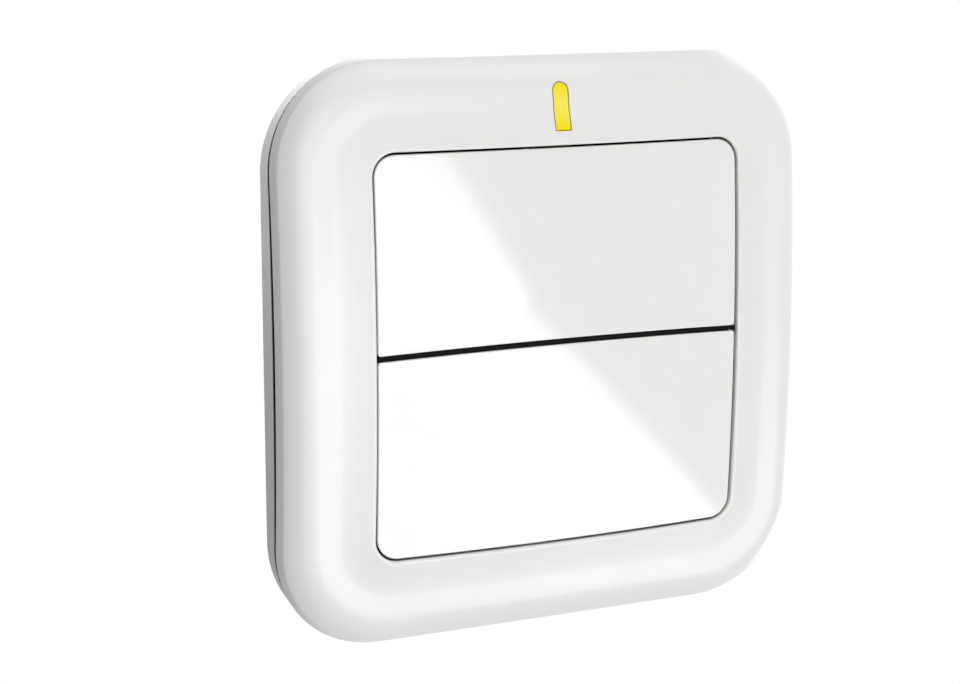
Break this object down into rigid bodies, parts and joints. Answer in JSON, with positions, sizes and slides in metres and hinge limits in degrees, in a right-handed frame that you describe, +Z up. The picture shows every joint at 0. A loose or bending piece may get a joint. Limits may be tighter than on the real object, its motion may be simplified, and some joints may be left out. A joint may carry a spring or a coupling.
{
  "type": "wireless wall switch",
  "caption": "Flat square wireless wall switch with an upper and a lower push key in a softly bowed white frame with a yellow status window.",
  "frame": {"origin": "centre of the flat rear face that lies on the wall", "axes": "+X to the right seen from the front, +Y into the wall, +Z up"},
  "size_m": [0.08, 0.0113, 0.08],
  "materials": {
    "white_abs": "gloss",
    "yellow_lens": "gloss",
    "black_abs": "matt",
    "board": "satin",
    "black_nylon": "matt",
    "tinned_steel": "satin",
    "led_body": "gloss",
    "cell_steel": "satin",
    "chip_epoxy": "matt",
    "ceramic": "matt",
    "copper_wire": "satin",
    "zinc_steel": "satin"
  },
  "bodies": {
    "base": {"wall_plate": "white_abs", "front_frame": "white_abs", "indicator_lens": "yellow_lens", "chassis": "black_abs", "key_stop_bar": "black_abs", "circuit_board": "board", "upper_switch_body": "black_nylon", "lower_switch_body": "black_nylon", "upper_switch_cover": "tinned_steel", "lower_switch_cover": "tinned_steel", "status_led": "led_body", "coin_cell": "cell_steel", "battery_positive_clip": "tinned_steel", "battery_negative_contact": "tinned_steel", "microcontroller": "chip_epoxy", "transmitter_chip": "chip_epoxy", "crystal": "tinned_steel", "chip_components": "ceramic", "antenna_coil": "copper_wire", "board_screws": "zinc_steel"},
    "upper_key": {"upper_key": "white_abs"},
    "lower_key": {"lower_key": "white_abs"},
    "upper_plunger": {"upper_switch_plunger": "black_nylon"},
    "lower_plunger": {"lower_switch_plunger": "black_nylon"}
  },
  "joints": [
    {"name": "upper_key_hinge", "type": "hinge", "parent": "base", "child": "upper_key", "pos_m": [0, -0.0058, 0.0234], "axis": [1, 0, 0], "range_deg": [0, 1.2], "stiffness_Nm_per_rad": 0.06, "springref_deg": -2.86},
    {"name": "upper_plunger_slide", "type": "slide", "parent": "base", "child": "upper_plunger", "axis": [0, 1, 0], "range_m": [0, 0.0003]},
    {"name": "lower_key_hinge", "type": "hinge", "parent": "base", "child": "lower_key", "pos_m": [0, -0.0058, -0.0234], "axis": [-1, 0, 0], "range_deg": [0, 1.2], "stiffness_Nm_per_rad": 0.06, "springref_deg": -2.86},
    {"name": "lower_plunger_slide", "type": "slide", "parent": "base", "child": "lower_plunger", "axis": [0, 1, 0], "range_m": [0, 0.0003]}
  ],
  "couplings": [
    {"joint": "upper_plunger_slide", "follows": "upper_key_hinge", "m_per_rad": 0.0134},
    {"joint": "lower_plunger_slide", "follows": "lower_key_hinge", "m_per_rad": 0.0134}
  ]
}
